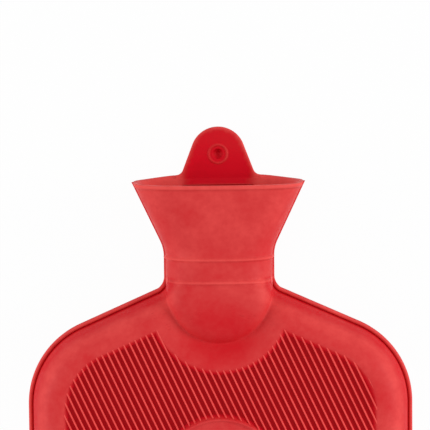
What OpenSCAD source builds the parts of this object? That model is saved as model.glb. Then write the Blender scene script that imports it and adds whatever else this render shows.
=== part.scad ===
// Rubber hot water bottle with a filling funnel, lying on its back.
// X runs across the bottle, Y from its foot up to the funnel, Z up through its thickness.
// The origin is under the middle of the bottle, on the surface that it lies on.

/* [Bladder] */
// Width across the seam flange
bladder_w = 200; // [180:1:220]
// Height of the middle of the shoulder curves above the foot
shoulder_y = 186; // [160:1:210]
// Radius of the shoulder curves, at the flange
shoulder_r = 42; // [34:1:50]
// Rise of the shoulders towards the neck, in degrees
shoulder_rise = 24; // [20:1:28]
// Radius of the corners at the foot
foot_r = 38; // [30:1:48]
// Depth of each half at the middle of its crown
half_depth = 24; // [20:0.5:28]
// Fall of the crown from the middle to the side
crown_fall = 4.5; // [3:0.5:6]
// Width of the rounded edge of each half
edge_w = 14; // [11:0.5:17]
// Radius of the flat patch that the back rests on
rest_r = 46; // [30:1:60]
// Thickness of the rubber wall
wall = 2.8; // [2:0.1:3.6]

/* [Seam flange] */
// Width of the bead round the seam
bead_w = 3; // [2.4:0.1:4]
// Thickness of the bead, both halves together
bead_t = 5; // [4:0.2:7]
// Width of the groove inside the bead
bead_groove_w = 1.4; // [1:0.1:2]
// Radius of the web between shoulder and neck
web_r = 11; // [8:1:14]
// Thickness of the web
web_t = 4; // [3:0.2:6]
// Height of the thin flash line on the sides of the neck and funnel
flash_h = 0.8; // [0.5:0.1:1.2]

/* [Ribbed panel] */
// Distance of the panel from the outer edge of the flange
panel_margin = 18.7; // [17:0.1:24]
// Pitch of the ribs, square to them
rib_pitch = 3.11; // [2.8:0.01:4]
// Width of a rib at its crest
rib_w = 0.95; // [0.7:0.05:1.3]
// Depth of the grooves between the ribs
rib_depth = 1.5; // [1:0.1:1.8]
// Depth of the rib crests below the smooth skin
crest_sink = 0.15; // [0.05:0.05:0.4]
// Lean of the ribs from the length of the bottle, in degrees
rib_lean = 25.3; // [15:0.1:40]
// Length over which the grooves run out at the edge of the panel
rib_runout = 3; // [2:0.5:4]

/* [Round medallion] */
// Diameter of the plain medallion on the front
medallion_d = 64; // [40:1:70]
// Height of its middle above the foot
medallion_y = 145; // [120:1:150]
// Rise of its face above the crown
medallion_rise = 0.6; // [0.4:0.1:1.2]
// Diameter of the bead round its rim
medallion_bead_d = 1.6; // [1:0.1:2.4]
// Gap between the medallion and the ribs
medallion_gap = 0.5; // [0.3:0.1:2]

/* [Neck] */
// Width of the neck, without the flash
neck_w = 56.6; // [50:0.2:60]
// Depth of the neck, front to back
neck_d = 44; // [42:0.5:48]
// Height of the lower ridge above the corner of neck and shoulder
ridge_rise = 2.4; // [2:0.2:6]
// Distance between the two ridges
ridge_gap = 12; // [9:0.5:14]
// Height of the ridges
ridge_h = 0.6; // [0.4:0.1:1]
// Width of the ridges
ridge_w = 1.5; // [1:0.1:2]
// Length of the tongue below the corner of neck and shoulder
tongue_l = 36.2; // [32:0.2:40]
// Length of the rounded end of the tongue
tongue_end = 25; // [20:1:28]
// Radius of the hollow in the bladder round the tongue
dip_r = 36.4; // [32:0.2:40]
// Depth of that hollow at the foot of the neck
dip_depth = 6; // [3:0.5:7]
// Height of the middle of the hollow above the rounded end
dip_rise = 2.4; // [0:0.2:5]

/* [Funnel] */
// Height of the funnel, from the upper ridge to the rim
funnel_h = 39.4; // [34:0.2:46]
// Radius of the curve from the neck into the funnel
flare_r = 25.5; // [20:0.5:32]
// Angle of the sides of the funnel, in degrees
flare_angle = 26.5; // [20:0.5:30]
// Depth of the rim in front of the seam
rim_front = 27.5; // [25:0.5:32]
// Depth of the rim behind the seam
rim_back = 22.8; // [22:0.1:23]
// Thickness of the funnel wall
funnel_wall = 3; // [2.4:0.1:3.6]
// Height of the lip bead
lip_h = 2.2; // [1.6:0.1:3]
// Overhang of the lip bead
lip_out = 1.2; // [0.8:0.1:1.6]
// Thinning of the wall at the inner edge of the rim
rim_bevel = 0.8; // [0.4:0.1:1.2]
// Height over which the round washer recess widens into the funnel
bowl_h = 14; // [10:0.5:18]

/* [Hanging tab] */
// Rise of the tab above the rim
tab_rise = 26.1; // [22:0.1:30]
// Radius of the top of the tab
tab_r = 13.5; // [11:0.5:15]
// Width of the tab at the rim
tab_foot_w = 40; // [34:1:46]
// Thickness of the tab
tab_t = 3.6; // [3:0.1:4.5]
// Diameter of the ring round the blind eyelet
eyelet_d = 9.8; // [8:0.1:12]
// Diameter of the bead that forms the ring
eyelet_bead_d = 1.2; // [0.8:0.1:1.6]
// Diameter of the blind recess in the eyelet
eyelet_hole_d = 4; // [3:0.1:6]
// Depth of the blind recess
eyelet_depth = 1.5; // [0.8:0.1:2]

/* [Neck insert] */
// Outer diameter of the end collars of the moulded-in insert
insert_d = 34; // [32:0.5:36]
// Diameter of the waist that the rubber grips
insert_waist_d = 30.5; // [28:0.5:32]
// Length of the insert
insert_l = 17; // [15:0.5:20]
// Width of each end collar
collar_w = 3; // [2:0.5:4]
// Diameter of the threaded bore
bore_d = 22; // [20:0.5:24]
// Diameter of the throat from the insert into the bladder
throat_d = 26; // [24:0.5:28]

/* [Stopper] */
// Clearance all round between the stopper and the insert
stopper_clearance = 0.3; // [0.2:0.05:0.5]
// Length of the shank below the washer
shank_l = 15; // [12:0.5:18]
// Diameter of the shank's neck, which carries the washer
washer_seat_d = 18; // [16:0.5:19]
// Diameter of the stopper's flange
flange_d = 31; // [28:0.5:33]
// Thickness of the flange
flange_t = 3; // [2:0.5:4]
// Width of the grip at its top
grip_w = 28; // [22:0.5:30]
// Width of the grip at the flange
grip_foot_w = 21; // [16:0.5:24]
// Height of the grip above the flange
grip_h = 17; // [12:0.5:19]
// Thickness of the grip
grip_t = 5; // [4:0.5:7]
// Radius of the upper corners of the grip
grip_corner_r = 5; // [3:0.5:6]

/* [Washer] */
// Thickness of the washer
washer_t = 2.5; // [2:0.1:4]
// Outer diameter of the washer
washer_d = 30; // [28:0.5:33]
// Clearance between the washer and the stopper's neck
washer_clearance = 0.2; // [0.1:0.05:0.4]
// Clearance between the washer and the side of its recess
recess_clearance = 0.5; // [0.3:0.1:1]

/* [Hidden] */
$fn = 48;

// Small distance that makes a cut run past a face
eps = 0.02;
// Depth to which an added shape runs into what carries it
root = 3;
// Bevel on the edges of the insert and the stopper
bevel = 1;
// Radius of the small lower corners of the grip
grip_foot_r = 0.5;
// Points round each section of the neck and funnel
section_n = 36;
// Squareness of the neck and of the rim, where 2 is an ellipse
neck_square = 2.5;
rim_square = 3;
// Steps along each rib
rib_steps = 6;
// Radius of the top of the bladder's outline, which the neck hides
apex_r = 30;

half_w = bladder_w / 2;
shoulder_x = half_w - shoulder_r;
// Distance of the straight shoulders from the middle of the foot, square to them
shoulder_line = sin(shoulder_rise) * shoulder_x + cos(shoulder_rise) * shoulder_y + shoulder_r;
apex_y = (shoulder_line - apex_r) / cos(shoulder_rise);
crown_y = (apex_y + apex_r) / 2;
crown_rate = crown_fall / (half_w * half_w);
seam_z = half_depth - crown_rate * rest_r * rest_r;
edge_start = bead_w + bead_groove_w;
edge_end = edge_start + edge_w;

neck_foot_y = (shoulder_line - sin(shoulder_rise) * neck_w / 2) / cos(shoulder_rise);
tongue_y = neck_foot_y - tongue_l + tongue_end;
dip_y = tongue_y + dip_rise;
ridge_y = neck_foot_y + ridge_rise;
upper_ridge_y = ridge_y + ridge_gap;
funnel_y = upper_ridge_y + ridge_w / 2;
rim_y = upper_ridge_y + funnel_h;
insert_y = ridge_y + (ridge_gap - insert_l) / 2;
insert_top = insert_y + insert_l;
washer_top = insert_top + washer_t;
recess_d = max(insert_d, washer_d) + 2 * recess_clearance;
overall_l = rim_y + tab_rise;

// Corners of the bladder's outline: centre x, y, radius, first and last angle, steps on the
// curve, steps on the straight after it
corners = [
    [half_w - foot_r, foot_r, foot_r, -90, 0, 8, 5],
    [shoulder_x, shoulder_y, shoulder_r, 0, 90 - shoulder_rise, 8, 3],
    [0, apex_y, apex_r, 90 - shoulder_rise, 90 + shoulder_rise, 4, 3],
    [-shoulder_x, shoulder_y, shoulder_r, 90 + shoulder_rise, 180, 8, 5],
    [foot_r - half_w, foot_r, foot_r, 180, 270, 8, 5]
];

function corner_point(c, angle, d) = [c[0] + (c[2] - d) * cos(angle), c[1] + (c[2] - d) * sin(angle)];

function on_curve(c, d) = [for (i = [0:c[5]]) corner_point(c, c[3] + (c[4] - c[3]) * i / c[5], d)];

function on_straight(p, q, steps) = [for (i = [1:steps - 1]) p + (q - p) * i / steps];

// Outline of the bladder at distance d inside the outer edge of the flange
function outline(d) = [
    for (k = [0:len(corners) - 1])
        let (c = corners[k], next = corners[(k + 1) % len(corners)])
        each concat(
            on_curve(c, d),
            on_straight(corner_point(c, c[4], d), corner_point(next, next[3], d), c[6])
        )
];

function smooth(t) = t <= 0 ? 0 : t >= 1 ? 1 : t * t * (3 - 2 * t);

function crown(p) = half_depth - crown_rate * pow(norm(p - [0, crown_y]), 2);

function dip(p) = dip_depth * smooth(1 - norm(p - [0, dip_y]) / dip_r);

// Height of the skin above the seam, where share runs from 0 at its foot to 1 on the crown
function skin(p, share, inset) = (crown(p) - dip(p) - inset) * share;

// Ring on the crown: the innermost edge ring, drawn in towards the middle
function crown_ring(share, inset) = [
    for (p = outline(edge_end + inset))
        let (q = [0, crown_y] + (p - [0, crown_y]) * share)
        [q[0], q[1], skin(q, 1, inset)]
];

// Ring on the rounded edge, at an angle from 0 at its foot to 90 on the crown
function edge_ring(angle, inset) = [
    for (p = outline(edge_start + inset + edge_w * (1 - cos(angle))))
        [p[0], p[1], skin(p, sin(angle), inset)]
];

function flat_ring(d, z) = [for (p = outline(d)) [p[0], p[1], z]];

// Rings over one half of the seam flange, from its outer edge over the bead into the groove
function flange_rings() = [
    flat_ring(0, bead_t / 4),
    flat_ring(bead_w / 4, bead_t / 2),
    flat_ring(bead_w * 0.8, bead_t / 2),
    flat_ring(bead_w + bead_groove_w * 0.4, bead_t / 5)
];

function half_rings(inset, angles, shares) = concat(
    [for (a = angles) edge_ring(a, inset)],
    [for (s = shares) crown_ring(s, inset)]
);

function below(rings) = [
    for (i = [len(rings) - 1:-1:0]) [for (p = rings[i]) [p[0], p[1], -p[2]]]
];

// Closed solid through rings of points, which run the same way round and are stacked upwards
module loft(rings) {
    n = len(rings[0]);
    last = len(rings) - 1;
    middle = function (ring) [for (k = [0:2]) (min([for (p = ring) p[k]]) + max([for (p = ring) p[k]])) / 2];
    points = concat([for (ring = rings) each ring], [middle(rings[0]), middle(rings[last])]);
    bottom = len(points) - 2;
    top = len(points) - 1;
    sides = [
        for (i = [0:last - 1], k = [0:n - 1])
            let (m = (k + 1) % n, a = i * n)
            each [[a + k, a + n + k, a + m], [a + m, a + n + k, a + n + m]]
    ];
    caps = [
        for (k = [0:n - 1])
            let (m = (k + 1) % n)
            each [[bottom, k, m], [top, last * n + m, last * n + k]]
    ];
    polyhedron(points, concat(sides, caps), convexity = 8);
}

// Outside of the bladder: the ribbed front with many rings, the plain back with few
module bladder_skin() {
    front = half_rings(0, [8, 26, 46, 68], [1, 0.95, 0.9, 0.85, 0.8, 0.74, 0.66, 0.56, 0.44, 0.3, 0.15]);
    back = half_rings(0, [8, 34, 62], [0.99, 0.9, 0.79, 0.5, 0.2]);
    loft(concat(below(concat(flange_rings(), back)), flange_rings(), front));
}

// Water space of the bladder
module bladder_space() {
    half = half_rings(wall, [0, 40, 75], [0.88, 0.5]);
    loft(concat(below([for (i = [1:len(half) - 1]) half[i]]), half));
}

// Section of the neck or funnel at height y: half width, front and back depth, squareness
function section(y, w, front, back, square) = [
    for (i = [0:section_n - 1])
        let (
            a = -360 * i / section_n,
            x = sign(cos(a)) * pow(abs(cos(a)), 2 / square),
            z = sign(sin(a)) * pow(abs(sin(a)), 2 / square)
        )
        [x * w, y, z * (z > 0 ? front : back)]
];

function neck_section(y, grow) =
    section(y, neck_w / 2 + grow, neck_d / 2 + grow, neck_d / 2 + grow, neck_square);

// Section of the tongue's rounded end, at an angle from 0 at the neck to 90 at its tip
function tongue_section(angle) =
    let (w = neck_w / 2 * cos(angle), depth = neck_d / 2 * cos(angle))
    section(tongue_y - tongue_end * sin(angle), w, depth, depth, neck_square);

// Growth of the funnel's half width over the neck's at height y
function flare(y) =
    let (curve_h = flare_r * sin(flare_angle), t = y - funnel_y)
    t < curve_h
        ? flare_r - sqrt(flare_r * flare_r - t * t)
        : flare_r * (1 - cos(flare_angle)) + (t - curve_h) * tan(flare_angle);

function funnel_section(y, grow) =
    let (share = flare(y) / flare(rim_y))
    section(
        y,
        neck_w / 2 + flare(y) + grow,
        neck_d / 2 + (rim_front - neck_d / 2) * share + grow,
        neck_d / 2 + (rim_back - neck_d / 2) * share + min(grow, 0),
        neck_square + (rim_square - neck_square) * share
    );

function ridge_sections(y) = [
    neck_section(y - ridge_w / 2, 0),
    neck_section(y, ridge_h),
    neck_section(y + ridge_w / 2, 0)
];

module neck_skin() {
    tongue = [for (a = [86, 70, 56, 44, 32, 20, 8]) tongue_section(a)];
    funnel = [for (t = [0.12, 0.2, 0.28, 0.4, 0.7]) funnel_section(funnel_y + t * (rim_y - funnel_y), 0)];
    lip = [
        funnel_section(rim_y - lip_h - lip_out * 0.4, 0),
        funnel_section(rim_y - lip_h * 0.85, lip_out),
        funnel_section(rim_y - lip_h * 0.3, lip_out),
        funnel_section(rim_y, 0)
    ];
    loft(concat(tongue, ridge_sections(ridge_y), ridge_sections(upper_ridge_y), funnel, lip));
}

// Inside of the funnel: a round recess for the washer, which widens up to the rim
module funnel_space() {
    round_section = function (y) section(y, recess_d / 2, recess_d / 2, recess_d / 2, 2);
    bowl = [
        for (share = [0, 0.14, 0.36, 0.64, 1])
            let (
                y = washer_top + share * bowl_h,
                t = pow(1 - share, 2),
                outer = funnel_section(y, -funnel_wall),
                inner = round_section(y)
            )
            [for (i = [0:section_n - 1]) outer[i] * (1 - t) + inner[i] * t]
    ];
    loft(concat(
        [round_section(insert_top)],
        bowl,
        [funnel_section(rim_y - lip_h, -funnel_wall), funnel_section(rim_y + eps, rim_bevel - funnel_wall)]
    ));
}

// Turned shape on the axis of the neck, standing at height y
module on_axis(y) {
    translate([0, y, 0])
        rotate([-90, 0, 0])
            rotate_extrude()
                children();
}

// Web of rubber that rounds the corner between each shoulder and the neck
module webs() {
    foot = neck_w / 2 - root;
    across = [sin(shoulder_rise), cos(shoulder_rise)];
    cx = neck_w / 2 + flash_h + web_r;
    cy = (shoulder_line + web_r - across[0] * cx) / across[1];
    touch = [cx, cy] - web_r * across;
    for (side = [0, 1])
        mirror([side, 0, 0])
            linear_extrude(web_t, center = true)
                difference() {
                    polygon([[foot, cy], [cx, cy], touch, touch - (root + 1) * across, [foot, touch[1]]]);
                    translate([cx, cy])
                        circle(web_r);
                }
}

module tab() {
    eye_y = overall_l - tab_r;
    difference() {
        union() {
            translate([0, 0, -rim_back])
                linear_extrude(tab_t)
                    hull() {
                        translate([0, eye_y])
                            circle(tab_r, $fn = 40);
                        translate([-tab_foot_w / 2, rim_y - lip_h - root])
                            square([tab_foot_w, lip_h + root]);
                    }
            translate([0, eye_y, tab_t - rim_back])
                eyelet_ring();
        }
        translate([0, eye_y, tab_t - rim_back - eyelet_depth])
            cylinder(d = eyelet_hole_d, h = eyelet_depth + eyelet_bead_d, $fn = 20);
    }
}

module eyelet_ring() {
    rotate_extrude($fn = 20)
        translate([(eyelet_d - eyelet_bead_d) / 2, 0])
            circle(d = eyelet_bead_d, $fn = 6);
}

// Thin line of rubber that the mould leaves on the seam, from the shoulders to the rim
module flash_line() {
    levels = concat(
        [[ridge_y, 0]],
        [for (t = [0, 0.14, 0.28, 0.62, 0.94]) let (y = funnel_y + t * (rim_y - funnel_y)) [y, flare(y)]]
    );
    for (side = [-1, 1], i = [0:len(levels) - 2])
        hull()
            for (level = [levels[i], levels[i + 1]])
                translate([side * (neck_w / 2 + level[1]), level[0], 0])
                    sphere(flash_h, $fn = 8);
}

// Space between the ribs: everything above a zigzag sheet that follows the crown
module rib_grooves() {
    reach = norm([half_w - panel_margin, crown_y - panel_margin]) + rib_pitch;
    count = ceil(reach / rib_pitch);
    profile = [
        for (i = [-count:count])
            each [
                [i * rib_pitch - rib_w / 2, crest_sink],
                [i * rib_pitch + rib_w / 2, crest_sink],
                [(i + 0.5) * rib_pitch, rib_depth]
            ]
    ];
    n = len(profile);
    lid = half_depth + root;
    lower = [
        for (k = [0:rib_steps], p = profile)
            let (u = reach * (2 * k / rib_steps - 1))
            [p[0], u, half_depth - crown_rate * (u * u + p[0] * p[0]) - p[1]]
    ];
    upper = [for (p = lower) [p[0], p[1], lid]];
    m = len(lower);
    sheet = [
        for (k = [0:rib_steps - 1], i = [0:n - 2])
            let (a = k * n + i)
            each [[a, a + 1, a + n + 1], [a, a + n + 1, a + n]]
    ];
    ends = [
        for (i = [0:n - 2])
            let (a = rib_steps * n + i)
            each [[i, m + i, m + i + 1], [i, m + i + 1, i + 1], [a, a + 1, m + a + 1], [a, m + a + 1, m + a]]
    ];
    flanks = [
        for (k = [0:rib_steps - 1])
            let (a = k * n, b = a + n - 1)
            each [[a, a + n, m + a + n], [a, m + a + n, m + a], [b, m + b, m + b + n], [b, m + b + n, b + n]]
    ];
    cover = [
        for (k = [0:rib_steps - 1], i = [0:n - 2])
            let (a = m + k * n + i)
            each [[a, a + n + 1, a + 1], [a, a + n, a + n + 1]]
    ];
    translate([0, crown_y, 0])
        rotate(rib_lean)
            polyhedron(concat(lower, upper), concat(sheet, ends, flanks, cover), convexity = 10);
}

// Ring at distance d inside the flange's edge, at a height above the crown
function panel_ring(d, rise) = [for (p = outline(d)) [p[0], p[1], crown(p) + rise]];

// The part of the front that the ribs cover
module panel() {
    outside = rib_runout / 2;
    difference() {
        loft([
            panel_ring(panel_margin + outside, -rib_depth - root),
            panel_ring(panel_margin + outside, -rib_depth),
            panel_ring(panel_margin - outside, 0),
            panel_ring(panel_margin - outside, half_depth)
        ]);
        clear_round([0, dip_y], dip_r + outside);
        clear_round([0, medallion_y], medallion_d / 2 + outside + medallion_gap);
    }
}

// Cone that keeps the ribs away from a round place, so that the grooves run out against it
module clear_round(place, r) {
    slope = rib_runout / rib_depth;
    low = 3 * root;
    translate([place[0], place[1], crown(place) - low])
        cylinder(h = low + root, r1 = r + low * slope / 2, r2 = r - root * slope / 2);
}

module medallion() {
    bead_r = (medallion_d - medallion_bead_d) / 2;
    translate([0, medallion_y, crown([0, medallion_y]) + medallion_rise]) {
        translate([0, 0, -root])
            cylinder(r = bead_r, h = root);
        rotate_extrude()
            translate([bead_r, 0])
                circle(d = medallion_bead_d, $fn = 6);
    }
}

module bottle() {
    color("#d8403f")
        translate([0, -overall_l / 2, seam_z])
            difference() {
                union() {
                    difference() {
                        bladder_skin();
                        intersection() {
                            rib_grooves();
                            panel();
                        }
                    }
                    neck_skin();
                    flash_line();
                    webs();
                    medallion();
                    tab();
                }
                bladder_space();
                funnel_space();
                on_axis(tongue_y - tongue_end)
                    square([throat_d / 2, insert_y - tongue_y + tongue_end + eps]);
                on_axis(insert_y)
                    insert_outline(eps);
                translate([-half_w, 0, -seam_z - half_depth])
                    cube([bladder_w, overall_l, half_depth]);
            }
}

// Half section of the insert without its bore, and of its seat, which runs past the end by past
module insert_outline(past) {
    square([insert_waist_d / 2, insert_l]);
    square([insert_d / 2, collar_w]);
    translate([0, insert_l - collar_w])
        square([insert_d / 2, collar_w + past]);
}

// Turned ferrule with a collar at each end, moulded into the neck
module neck_insert() {
    bore = bore_d / 2;
    color("#c9a04e")
        translate([0, -overall_l / 2, seam_z])
            on_axis(insert_y)
                difference() {
                    insert_outline(0);
                    polygon([
                        [0, -eps],
                        [bore + bevel, -eps],
                        [bore, bevel],
                        [bore, insert_l - bevel],
                        [bore + bevel, insert_l + eps],
                        [0, insert_l + eps]
                    ]);
                }
}

module stopper_washer() {
    inner = washer_seat_d / 2 + washer_clearance;
    color("#4a4442")
        translate([0, -overall_l / 2, seam_z])
            on_axis(insert_top)
                translate([inner, 0])
                    square([washer_d / 2 - inner, washer_t]);
}

// Screw stopper: shank, neck for the washer, flange and grip in one moulding
module stopper() {
    shank = bore_d / 2 - stopper_clearance;
    seat = washer_seat_d / 2;
    flange = flange_d / 2;
    flange_y = shank_l + washer_t;
    color("#3a3a3c")
        translate([0, -overall_l / 2, seam_z]) {
            on_axis(insert_top - shank_l)
                polygon([
                    [0, 0],
                    [shank - bevel, 0],
                    [shank, bevel],
                    [shank, shank_l - bevel],
                    [seat, shank_l],
                    [seat, flange_y],
                    [flange, flange_y],
                    [flange, flange_y + flange_t - bevel],
                    [flange - bevel, flange_y + flange_t],
                    [0, flange_y + flange_t]
                ]);
            stopper_grip();
        }
}

// Flat upright wing that the fingers turn
module stopper_grip() {
    translate([0, washer_top + flange_t - eps, 0])
        linear_extrude(grip_t, center = true)
            hull()
                for (side = [-1, 1]) {
                    translate([side * (grip_w / 2 - grip_corner_r), grip_h - grip_corner_r])
                        circle(grip_corner_r);
                    translate([side * (grip_foot_w / 2 - grip_foot_r), grip_foot_r])
                        circle(grip_foot_r);
                }
}

bottle();
neck_insert();
stopper();
stopper_washer();
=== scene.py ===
import math

import bmesh
import bpy
import numpy as np
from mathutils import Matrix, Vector, kdtree
from mathutils.geometry import delaunay_2d_cdt


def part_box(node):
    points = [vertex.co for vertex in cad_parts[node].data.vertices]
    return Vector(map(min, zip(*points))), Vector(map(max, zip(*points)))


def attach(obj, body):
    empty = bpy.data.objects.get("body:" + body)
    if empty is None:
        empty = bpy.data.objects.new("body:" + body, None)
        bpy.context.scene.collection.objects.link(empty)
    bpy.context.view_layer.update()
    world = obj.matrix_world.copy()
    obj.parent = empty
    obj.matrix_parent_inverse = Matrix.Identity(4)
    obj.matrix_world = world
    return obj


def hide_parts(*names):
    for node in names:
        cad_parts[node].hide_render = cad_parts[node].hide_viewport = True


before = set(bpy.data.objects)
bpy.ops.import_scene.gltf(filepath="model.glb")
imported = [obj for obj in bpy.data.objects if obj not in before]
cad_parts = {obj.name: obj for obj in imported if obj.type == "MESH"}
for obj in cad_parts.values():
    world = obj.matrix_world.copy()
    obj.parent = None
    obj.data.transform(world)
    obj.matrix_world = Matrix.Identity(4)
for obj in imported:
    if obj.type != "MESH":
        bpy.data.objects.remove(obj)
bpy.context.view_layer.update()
scene = bpy.context.scene

# Bottle: one moulding of red natural rubber, a crowned bladder with a beaded seam, a neck
# with a tongue, a funnel with a lip and a hanging tab. It is moulded hollow, in two halves
# that meet at the seam, so its skin is drawn here as a front and a back half.

# Bladder, in metres: Y runs up from the foot, Z out from the seam
half_w = 0.100
foot_r = 0.038
shoulder_r = 0.046
shoulder_y = 0.1834
shoulder_rise = math.radians(24)
half_depth = 0.024
crown_fall = 0.0045
apex_r = 0.030
rest_r = 0.046
edge_w = 0.014
edge_blend = 0.0005
wall = 0.0028
# Seam flange
bead_w = 0.0022
bead_h = 0.0025
bead_square = 2.6
groove_w = 0.0003
land_h = 0.0010
web_r = 0.0077
web_drop = 0.00015
flash_w = 0.0010
flash_h = 0.0007
# Panel of ribs and round medallion
panel_w = 0.0795
panel_foot_y = 0.0205
panel_drop = 0.0184
panel_r = 0.031
panel_foot_r = 0.0175
rib_depth = 0.0015
rib_runout = 0.003
medallion_r = 0.032
medallion_y = 0.147
medallion_rise = 0.0006
medallion_bead_r = 0.0008
medallion_gap = 0.0005
medallion_groove = 0.0003
medallion_groove_w = 0.0009
# Neck and tongue
neck_w = 0.02765
neck_d = 0.022
neck_square = 2.5
ridge_h = 0.0009
ridge_w = 0.0020
ridge_fade = 0.0015
ridge_y = 0.2485
upper_ridge_y = 0.2602
tongue_y = 0.2425
tongue_square = 4.0
tongue_blend = 0.0009
tongue_fade = 0.006
dip_y = 0.2385
dip_r = 0.0364
dip_depth = 0.0074

along_shoulder = (math.sin(shoulder_rise), math.cos(shoulder_rise))
shoulder_x = half_w - shoulder_r
shoulder_line = along_shoulder[0] * shoulder_x + along_shoulder[1] * shoulder_y + shoulder_r
# The crown is highest half way up the bladder's outline, whose round top the neck hides
apex_y = (shoulder_line - apex_r) / along_shoulder[1]
crown_y = (apex_y + apex_r) / 2
crown_rate = crown_fall / half_w ** 2
seam_z = half_depth - crown_rate * rest_r ** 2
foot_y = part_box("bottle")[0].y
edge_start = bead_w + groove_w
edge_end = edge_start + edge_w
neck_side = neck_w + flash_w
web_x = neck_side + web_r
web_y = (shoulder_line + web_r - web_drop - along_shoulder[0] * web_x) / along_shoulder[1]
# The web's curve meets the shoulder in a kink, at this angle round the curve's centre
kink = 1.5 * math.pi - shoulder_rise - math.acos(1 - web_drop / web_r)
kink_ray = (math.cos(kink), math.sin(kink))
kink_at = (web_x + web_r * kink_ray[0], web_y + web_r * kink_ray[1])
# The halves of the skin end here, and the neck is drawn round from here up
cut_y = 0.254
# The points of the skin lie closer together round the tongue than on the open bladder
fine_gap = 0.0012
fine_y = 0.203
fine_w = 0.037
fine_margin = 0.0046
open_gap = 0.0026
open_margin = 0.0165
# Half width, foot, slope, upper and lower corners of the bladder and of the ribbed panel
bladder = (half_w, 0.0, shoulder_line, shoulder_r, foot_r)
panel = (panel_w, panel_foot_y, shoulder_line - panel_drop, panel_r, panel_foot_r)


def smooth(t):
    t = np.clip(t, 0, 1)
    return t * t * (3 - 2 * t)


def higher(a, b, radius):
    """The higher of two heights, rounded where they meet, and sharp where one of them is zero."""
    radius = radius * np.clip(np.minimum(a, b) / radius, 0, 1)
    return (a + b + np.sqrt((a - b) ** 2 + radius ** 2)) / 2


def bend_centre(w, line, top_r):
    """Centre of the bend between the side and the sloping shoulder."""
    return w - top_r, (line - top_r - along_shoulder[0] * (w - top_r)) / along_shoulder[1]


def inside_shape(x, y, top, w, low, line, top_r, low_r):
    """Distance inside a shape with round corners, whose upper edge is the distance top away."""
    d = np.minimum(np.minimum(w - x, y - low), top)
    bend_x, bend_y = bend_centre(w, line, top_r)
    in_bend = (y > bend_y) & (x - bend_x > math.tan(shoulder_rise) * (y - bend_y))
    d = np.where(in_bend, top_r - np.hypot(x - bend_x, y - bend_y), d)
    in_foot = (y < low + low_r) & (x > w - low_r)
    return np.where(in_foot, low_r - np.hypot(x - w + low_r, y - low - low_r), d)


def inside_edge(x, y):
    """Distance of a point from the outer edge of the flange, measured inwards."""
    x = np.abs(x)
    line = shoulder_line - along_shoulder[0] * x - along_shoulder[1] * y
    past_web = kink_ray[0] * (y - web_y) - kink_ray[1] * (x - web_x) > 0
    past_kink = along_shoulder[1] * (x - kink_at[0]) - along_shoulder[0] * (y - kink_at[1]) > 0
    top = np.where(past_kink, line, np.hypot(x - kink_at[0], y - kink_at[1]))
    top = np.where(past_web, top, np.hypot(x - web_x, y - web_y) - web_r)
    return np.where(y > web_y, neck_side - x, inside_shape(x, y, top, *bladder))


def inside_panel(x, y):
    """Distance of a point from the edge of the ribbed panel, measured inwards."""
    x = np.abs(x)
    line = panel[2] - along_shoulder[0] * x - along_shoulder[1] * y
    tongue_gap = np.hypot(x, y - dip_y) - dip_r
    return np.minimum(inside_shape(x, y, line, *panel), tongue_gap)


def crown(x, y):
    return half_depth - crown_rate * (x ** 2 + (y - crown_y) ** 2)


def flange_height(y, d):
    """Half thickness of the bead, which thins to the flash line up the side of the neck."""
    fade = smooth((y - web_y + web_r) / web_r)
    width = bead_w + (2 * flash_w - bead_w) * fade
    height = bead_h + (flash_h - bead_h) * fade
    t = np.clip(np.abs(2 * d / width - 1), 0, 1)
    bead = height * (1 - t ** bead_square) ** (1 / bead_square)
    return np.where(2 * d > width, np.maximum(bead, land_h), bead)


def neck_height(x, y):
    """The front of the neck, which ends below its ridge in a round, steeper tongue."""
    ridge = ridge_h * np.clip(1 - (2 * (y - ridge_y) / ridge_w) ** 2, 0, 1)
    ridge = ridge * smooth((neck_w - np.abs(x)) / ridge_fade)
    from_middle = np.hypot(x, np.minimum(y - tongue_y, 0))
    u = np.clip(from_middle / (neck_w + ridge), 0, 1)
    share = smooth((ridge_y + ridge_w / 2 - y) / tongue_fade)
    square = neck_square + (tongue_square - neck_square) * share
    return (neck_d + ridge) * (1 - u ** square) ** (1 / square)


def dip(x, y):
    """How deep the skin lies under the crown round the tongue."""
    return dip_depth * smooth(1.6 - 1.6 * np.hypot(x, y - dip_y) / dip_r)


def groove_floor(x, y):
    """Depth of the panel below the crown, with a ramp where the grooves run out."""
    medallion_ring = np.hypot(x, y - medallion_y) - medallion_r - medallion_gap
    inside = np.minimum(inside_panel(x, y), medallion_ring)
    return rib_depth * smooth(0.5 + inside / rib_runout)


def medallion_height(x, y):
    face = half_depth - crown_rate * (medallion_y - crown_y) ** 2 + medallion_rise
    r = np.hypot(x, y - medallion_y)
    t = np.clip(np.abs(r - medallion_r + medallion_bead_r) / medallion_bead_r, 0, 1)
    bead = medallion_bead_r * np.sqrt(1 - t ** 2)
    from_groove = np.abs(r - medallion_r + 3 * medallion_bead_r)
    groove = medallion_groove * smooth(1 - from_groove / medallion_groove_w)
    return np.where(r < medallion_r, face + bead - groove, 0)


def half_height(x, y, front):
    d = inside_edge(x, y)
    t = np.clip((d - edge_start) / edge_w, 0, 1)
    skin = (crown(x, y) - dip(x, y)) * np.sqrt(1 - (1 - t) ** 2)
    if front:
        skin = skin - groove_floor(x, y)
    skin = higher(flange_height(y, d), skin, edge_blend)
    skin = higher(neck_height(x, y), skin, tongue_blend)
    if front:
        return np.maximum(skin, medallion_height(x, y))
    return np.minimum(skin, seam_z)


def arc(cx, cy, r, first, last, count):
    angles = np.radians(np.linspace(first, last, count))
    return np.stack([cx + r * np.cos(angles), cy + r * np.sin(angles)], 1)


def straight(start, end, count):
    return np.linspace(start, end, count)


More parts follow.
